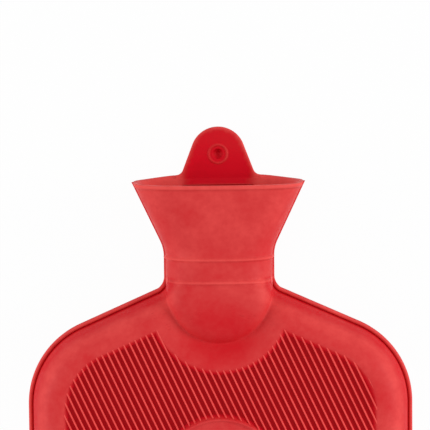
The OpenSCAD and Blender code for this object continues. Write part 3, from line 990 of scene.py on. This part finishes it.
def rib_rows(tree, given):
    """Rows of points that follow the crown, kept inside the panel and swept with a rib's section."""
    reach = given["Reach"]
    low = times(tree, reach, -1.0)
    rows = made(tree, "GeometryNodeMeshLine", {
        "Count": maths(tree, "DIVIDE", times(tree, reach, 2.0), given["Pitch"]),
        "Start Location": along(tree, x=maths(tree, "ADD", low, given["Shift"])),
        "Offset": along(tree, x=given["Pitch"]),
    })
    row = made(tree, "GeometryNodeMeshLine", {
        "Count": 2 * rib_half_steps + 1,
        "Start Location": along(tree, y=low),
        "Offset": along(tree, y=maths(tree, "DIVIDE", reach, rib_half_steps)),
    })
    laid = made(tree, "GeometryNodeInstanceOnPoints", {"Points": rows, "Instance": row})
    real = made(tree, "GeometryNodeRealizeInstances", {"Geometry": laid})
    spot = made(tree, "GeometryNodeInputPosition")
    away = add_node(tree, "ShaderNodeVectorMath", {0: spot, 1: spot}, operation="DOT_PRODUCT")
    fall = maths(tree, "SUBTRACT", times(tree, away.outputs["Value"], -crown_rate), given["Sink"])
    centre = along(tree, y=crown_y + foot_y, z=maths(tree, "ADD", fall, seam_z + half_depth))
    turn = {"Vector": spot, "Angle": given["Lean"]}
    turned = made(tree, "ShaderNodeVectorRotate", turn, rotation_type="Z_AXIS")
    crowned = made(tree, "GeometryNodeSetPosition", {
        "Geometry": real,
        "Position": made(tree, "ShaderNodeVectorMath", {0: turned, 1: centre}, operation="ADD"),
    })
    area = add_node(tree, "GeometryNodeObjectInfo", {"Object": given["Area"]})
    on_area = made(tree, "GeometryNodeRaycast", {
        "Target Geometry": area.outputs["Geometry"], "Ray Direction": (0, 0, -1),
    })
    outside = made(tree, "FunctionNodeBooleanMath", {0: on_area}, operation="NOT")
    stray = {"Geometry": crowned, "Selection": outside}
    kept = made(tree, "GeometryNodeDeleteGeometry", stray, domain="POINT")
    lines = made(tree, "GeometryNodeMeshToCurve", {"Mesh": kept})
    even = made(tree, "GeometryNodeResampleCurve", {"Curve": lines, "Count": 16})
    upright = made(tree, "GeometryNodeSetCurveNormal", {"Curve": even}, mode="Z_UP")
    shape = made(tree, "GeometryNodeCurvePrimitiveQuadrilateral", {
        "Bottom Width": given["Crest width"], "Top Width": given["Foot width"], "Offset": 0.0,
        "Height": given["Depth"],
    }, mode="TRAPEZOID")
    rounded = made(tree, "GeometryNodeFilletCurve", {
        "Curve": shape, "Radius": given["Edge radius"], "Limit Radius": True, "Count": 3,
    }, mode="POLY")
    # The section hangs from its line, with its own Y pointing down into the bladder. A painted highlight
    # # lies on the crest and ends at the edges of the flanks, which take the deep red of painted shade
    height = add_node(tree, "ShaderNodeSeparateXYZ", {0: spot}).outputs[1]
    on_crest = maths(tree, "LESS_THAN", height, 0.0)
    bloom = made(tree, "GeometryNodeStoreNamedAttribute", {
        "Geometry": rounded, "Name": "bloom", "Value": times(tree, on_crest, given["Crest bloom"]),
    }, data_type="FLOAT", domain="POINT")
    profile = made(tree, "GeometryNodeTransform", {
        "Geometry": bloom, "Translation": along(tree, y=times(tree, given["Depth"], 0.5)),
    })
    return sweep(tree, upright, profile)


area = rib_area()
panel_ribs = grow("panel_ribs", rib_rows, rubber, {
    "Pitch": rib_pitch,
    "Shift": rib_shift,
    "Lean": rib_lean,
    "Reach": rib_reach,
    "Crest width": rib_crest,
    "Foot width": rib_foot,
    "Depth": rib_depth + rib_root,
    "Sink": rib_sink,
    "Edge radius": rib_edge_r,
    "Crest bloom": rib_crest_painted_highlight,
}, area)
bpy.data.objects.remove(area)
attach(panel_ribs, "bottle")

# Neck insert: a brass ferrule turned on a lathe, which is laid into the mould so that the
# rubber of the neck grips it. The stopper screws into its thread.
thread_pitch = 0.004
bore_r = 0.011
insert_ridge_r = 0.0007
insert_turns = 3.4
insert_run_in = 0.0015
thread_start = insert_y + insert_run_in


def turned_brass():
    """Yellow brass with the fine rings that the lathe leaves round its axis."""
    finish, tree, shader, place = new_finish("turned_brass", 0.5, 1.0)
    rings = made(tree, "ShaderNodeMapping", {"Vector": place, "Scale": (0.02, 1.0, 0.02)})
    marks = noise(tree, rings, 4000.0, 2.0)
    tarnish = spread(tree, noise(tree, place, 160.0, 4.0), 0.0, 1.0)
    skin = colours(tree, tarnish, ((0.0, (0.50, 0.30, 0.09)), (1.0, (0.66, 0.43, 0.15))))
    coat(tree, shader, skin, spread(tree, marks, 0.24, 0.38))
    bump(tree, shader, marks, 0.3, 0.00005)
    return finish


def thread(tree, given):
    """Ridge that winds up round the axis, with a right-hand twist, and sinks away at its ends."""
    line = made(tree, "GeometryNodeResampleCurve", {
        "Curve": made(tree, "GeometryNodeCurvePrimitiveLine"), "Count": 150,
    })
    turn = times(tree, made(tree, "GeometryNodeSplineParameter"), given["Turns"])
    angle = times(tree, turn, 2 * math.pi)
    to_end = maths(tree, "MINIMUM", turn, maths(tree, "SUBTRACT", given["Turns"], turn))
    sunk = maths(tree, "MAXIMUM", maths(tree, "SUBTRACT", 1.0, times(tree, to_end, 3.0)), 0.0)
    radius = maths(tree, "ADD", given["Radius"], times(tree, sunk, given["Run out"]))
    up = times(tree, radius, maths(tree, "COSINE", angle))
    wound = made(tree, "GeometryNodeSetPosition", {
        "Geometry": line,
        "Position": along(
            tree,
            x=times(tree, radius, maths(tree, "SINE", angle)),
            y=maths(tree, "ADD", given["Start"], times(tree, turn, given["Pitch"])),
            z=maths(tree, "ADD", up, given["Axis height"]),
        ),
    })
    ridge = made(tree, "GeometryNodeCurvePrimitiveCircle", {
        "Resolution": 10, "Radius": given["Ridge radius"],
    })
    return sweep(tree, wound, ridge)


def wind_thread(name, finish, r, ridge_r, turns, start, run_out):
    return grow(name, thread, finish, {
        "Radius": r,
        "Ridge radius": ridge_r,
        "Pitch": thread_pitch,
        "Turns": turns,
        "Start": start + foot_y,
        "Run out": run_out,
        "Axis height": seam_z,
    })


brass = turned_brass()
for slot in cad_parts["neck_insert"].material_slots:
    slot.material = brass
insert_thread = wind_thread(
    "insert_thread", brass, bore_r, insert_ridge_r, insert_turns, thread_start, insert_ridge_r,
)
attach(insert_thread, "bottle")

# Washer: a ring of soft rubber, cut from a tube and pushed over the stopper's neck, where it
# seals on the rim of the insert.
washer_inner_r = 0.0092
washer_outer_r = 0.015
washer_edge_r = 0.0005
# The flange of the stopper just clears the washer, so that no two faces share a plane
washer_play = 0.00003


def lathe(name, profile, closed=False):
    """Turned piece from (height, radius) pairs. Its ends lie on the axis, or meet if it is closed."""
    points = []
    faces = []
    rings = []
    for y, r in profile:
        ring = round_section(y, r)
        rings.append(list(range(len(points), len(points) + len(ring))))
        points.extend(ring.tolist())
    for a, b in zip(rings, rings[1:] + rings[:1] if closed else rings[1:]):
        faces.extend(ring_faces(a, b))
    if not closed:
        for ring, (y, r) in ((rings[0], profile[0]), (rings[-1], profile[-1])):
            points.append((0, y, 0))
            faces.extend((ring[i - 1], ring[i], len(points) - 1) for i in range(len(ring)))
    return make_piece(name, points, faces)


def corner(y, r, radius, first, last):
    """Rounded corner of a turned profile, as (height, radius) pairs."""
    return [(b, a) for a, b in arc(r, y, radius, first, last, 5)]


def washer_rubber():
    """Dark soft rubber with a slightly worn, dusty face."""
    finish, tree, shader, place = new_finish("soft_black_rubber", 0.3)
    dust = spread(tree, noise(tree, place, 420.0, 4.0), 0.0, 1.0)
    skin = colours(tree, dust, ((0.0, (0.040, 0.034, 0.031)), (1.0, (0.085, 0.075, 0.070))))
    coat(tree, shader, skin, spread(tree, dust, 0.62, 0.8))
    bump(tree, shader, noise(tree, place, 2600.0, 2.0), 0.3, 0.00008)
    return finish


low_y = insert_top + washer_edge_r
high_y = washer_top - washer_edge_r - washer_play
washer_ring = lathe("washer_ring", [
    *corner(low_y, washer_inner_r + washer_edge_r, washer_edge_r, 180, 270),
    *corner(low_y, washer_outer_r - washer_edge_r, washer_edge_r, 270, 360),
    *corner(high_y, washer_outer_r - washer_edge_r, washer_edge_r, 0, 90),
    *corner(high_y, washer_inner_r + washer_edge_r, washer_edge_r, 90, 180),
], closed=True)
washer_ring.data.materials.append(washer_rubber())
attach(washer_ring, "washer")
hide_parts("stopper_washer")

# Stopper: one moulding of hard black plastic, a shank with a coarse thread, a neck for the
# washer, a flange that presses on it, and a wing grip for the fingers.
shank_l = 0.015
core_r = 0.0099
washer_seat_r = 0.009
washer_seat_drop = 0.0014
washer_seat_taper = 0.0008
flange_r = 0.0155
flange_t = 0.003
flange_edge_r = 0.0009
flange_seat_r = 0.0005
shank_bevel = 0.001
stopper_ridge_r = 0.00065
stopper_turns = 2.9
thread_sink = 0.00035
grip_top_w = 0.014
grip_foot_w = 0.0105
grip_h = 0.017
grip_t = 0.005
grip_corner_r = 0.005
grip_edge_r = 0.0012
grip_root = 0.001
grip_rib_n = 5
grip_rib_start = 0.0045
grip_rib_gap = 0.0021
grip_rib_l = 0.0074
grip_rib_r = 0.0005

shank_y = insert_top - shank_l
flange_top = washer_top + flange_t
stopper_body = lathe("stopper_body", [
    (shank_y, 0.002),
    (shank_y, core_r - shank_bevel),
    (shank_y + shank_bevel, core_r),
    (insert_top - washer_seat_drop - washer_seat_taper, core_r),
    (insert_top - washer_seat_drop, washer_seat_r),
    (washer_top, washer_seat_r),
    (washer_top, flange_r - flange_seat_r - 0.0001),
    *corner(washer_top + flange_seat_r, flange_r - flange_seat_r, flange_seat_r, 300, 360),
    *corner(flange_top - flange_edge_r, flange_r - flange_edge_r, flange_edge_r, 0, 90),
    (flange_top, 0.009),
    (flange_top, 0.004),
])


def grip_line(inset):
    """Outline of the grip: it widens upwards from the flange, and its upper corners are round."""
    top = flange_top + grip_h
    lean = math.atan2(grip_top_w - grip_foot_w, grip_h - grip_corner_r)
    corner_x = grip_top_w - grip_corner_r
    bend = arc(corner_x, top - grip_corner_r, grip_corner_r - inset, -math.degrees(lean), 90, 14)
    foot = (grip_foot_w - inset, flange_top - grip_root)
    right = np.concatenate([
        straight((0, foot[1]), foot, 12)[:-1],
        straight(foot, bend[0], 14)[:-1],
        bend,
        straight(bend[-1], (0, top - inset), 9)[1:],
    ])
    return np.concatenate([right, right[-2:0:-1] * (-1, 1)])


def flat(x, y):
    return np.zeros_like(x)


stopper_grip = make_piece(
    "stopper_grip", *slab(grip_line, flat, grip_t, grip_edge_r, 0.0015, flat, []),
)
unite(stopper_body, stopper_grip)


def black_plastic():
    """Hard moulded plastic with a fine satin skin and faint flow marks."""
    finish, tree, shader, place = new_finish("satin_black_plastic", 0.5)
    flow = made(tree, "ShaderNodeMapping", {"Vector": place, "Scale": (1.0, 0.3, 1.0)})
    shade = spread(tree, noise(tree, flow, 240.0, 3.0), 0.0, 1.0)
    skin = colours(tree, shade, ((0.0, (0.014, 0.014, 0.016)), (1.0, (0.026, 0.026, 0.028))))
    coat(tree, shader, skin, spread(tree, shade, 0.34, 0.46))
    bump(tree, shader, noise(tree, place, 3200.0, 2.0), 0.25, 0.00004)
    return finish


def finger_ribs(tree, given):
    """Low lens-shaped ribs, one above another on both faces of the grip."""
    spots = made(tree, "GeometryNodeMeshLine", {
        "Count": given["Count"],
        "Start Location": along(tree, y=given["Start"]),
        "Offset": along(tree, y=given["Gap"]),
    })
    ball = made(tree, "GeometryNodeMeshUVSphere", {"Segments": 16, "Rings": 12, "Radius": 1.0})
    size = along(tree, given["Length"], given["Rib radius"], given["Rib radius"])
    rib = made(tree, "GeometryNodeTransform", {"Geometry": ball, "Scale": size})
    laid = made(tree, "GeometryNodeInstanceOnPoints", {"Points": spots, "Instance": rib})
    both = add_node(tree, "GeometryNodeJoinGeometry")
    for side in (1.0, -1.0):
        height = maths(tree, "ADD", given["Axis height"], times(tree, given["Face"], side))
        move = along(tree, z=height)
        moved = made(tree, "GeometryNodeTransform", {"Geometry": laid, "Translation": move})
        tree.links.new(moved, both.inputs[0])
    return both.outputs[0]


plastic = black_plastic()
stopper_body.data.materials.append(plastic)
stopper_body.data.set_sharp_from_angle(angle=math.radians(40))
stopper_thread = wind_thread(
    "stopper_thread", plastic, core_r + thread_sink, stopper_ridge_r, stopper_turns,
    thread_start + thread_pitch / 2, -stopper_ridge_r,
)
grip_ribs = grow("grip_ribs", finger_ribs, plastic, {
    "Count": grip_rib_n,
    "Gap": grip_rib_gap,
    "Length": grip_rib_l,
    "Rib radius": grip_rib_r,
    "Face": grip_t / 2,
    "Start": flange_top + grip_rib_start + foot_y,
    "Axis height": seam_z,
})
for piece in (stopper_body, stopper_thread, grip_ribs):
    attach(piece, "stopper")
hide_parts("stopper")

# Stage: the bottle lies on its back on a white studio floor. The camera looks down on it and
# leans a little towards its funnel, with two soft lamps, one on each side.
floor_half = 3.0
floor_white = 0.8
camera_white = 0.97
world_light = 0.64
camera_distance = 1.35
view_w = 0.2227
elevation = math.radians(5.5)
roll = math.radians(-0.6)
aim = (-0.0005, 0.1189, seam_z)

floor_mesh = bpy.data.meshes.new("floor")
floor_corners = [(x * floor_half, y * floor_half, 0) for x, y in ((-1, -1), (1, -1), (1, 1), (-1, 1))]
floor_mesh.from_pydata(floor_corners, [], [(0, 1, 2, 3)])
floor = add_object("floor", floor_mesh)


def seen_by_camera(tree):
    """1 for what the camera sees, straight or in a gloss, and 0 for what only lights the bottle."""
    path = add_node(tree, "ShaderNodeLightPath").outputs
    either = maths(tree, "MAXIMUM", path["Is Glossy Ray"], path["Is Transmission Ray"])
    return maths(tree, "MAXIMUM", path["Is Camera Ray"], either)


paper = bpy.data.materials.new("white_paper")
paper.use_nodes = True
tree = paper.node_tree
tree.nodes.clear()
matt = made(tree, "ShaderNodeBsdfDiffuse", {"Color": (floor_white, floor_white, floor_white, 1)})
white = made(tree, "ShaderNodeEmission", {"Color": (1, 1, 1, 1), "Strength": 1.0})
share = times(tree, seen_by_camera(tree), camera_white)
mixed = made(tree, "ShaderNodeMixShader", {0: share, 1: matt, 2: white})
add_node(tree, "ShaderNodeOutputMaterial", {0: mixed})
floor_mesh.materials.append(paper)

world = bpy.data.worlds.new("studio")
scene.world = world
world.use_nodes = True
tree = world.node_tree
background = tree.nodes["Background"]
background.inputs[0].default_value = (1, 1, 1, 1)
lift = times(tree, seen_by_camera(tree), 1 - world_light)
tree.links.new(maths(tree, "ADD", lift, world_light), background.inputs[1])


def lamp(name, spot, target, size, power):
    data = bpy.data.lights.new(name, "AREA")
    data.energy = power
    data.size = size
    light = add_object(name, data)
    light.location = spot
    light.rotation_euler = (Vector(target) - light.location).to_track_quat("-Z", "Y").to_euler()


lamp("key", (1.05, 0.22, 0.5), (0, 0.03, 0), 0.45, 6.5)
lamp("left", (-1.05, 0.12, 0.42), (0, 0.03, 0), 0.5, 4.5)

camera_data = bpy.data.cameras.new("camera")
camera_data.sensor_width = 36
camera_data.lens = camera_data.sensor_width * camera_distance / view_w
camera = add_object("camera", camera_data)
camera.location = Vector(aim) + camera_distance * Vector((0, math.sin(elevation), math.cos(elevation)))
camera.rotation_euler = (-elevation, 0, roll)
scene.camera = camera
scene.view_settings.view_transform = "Standard"
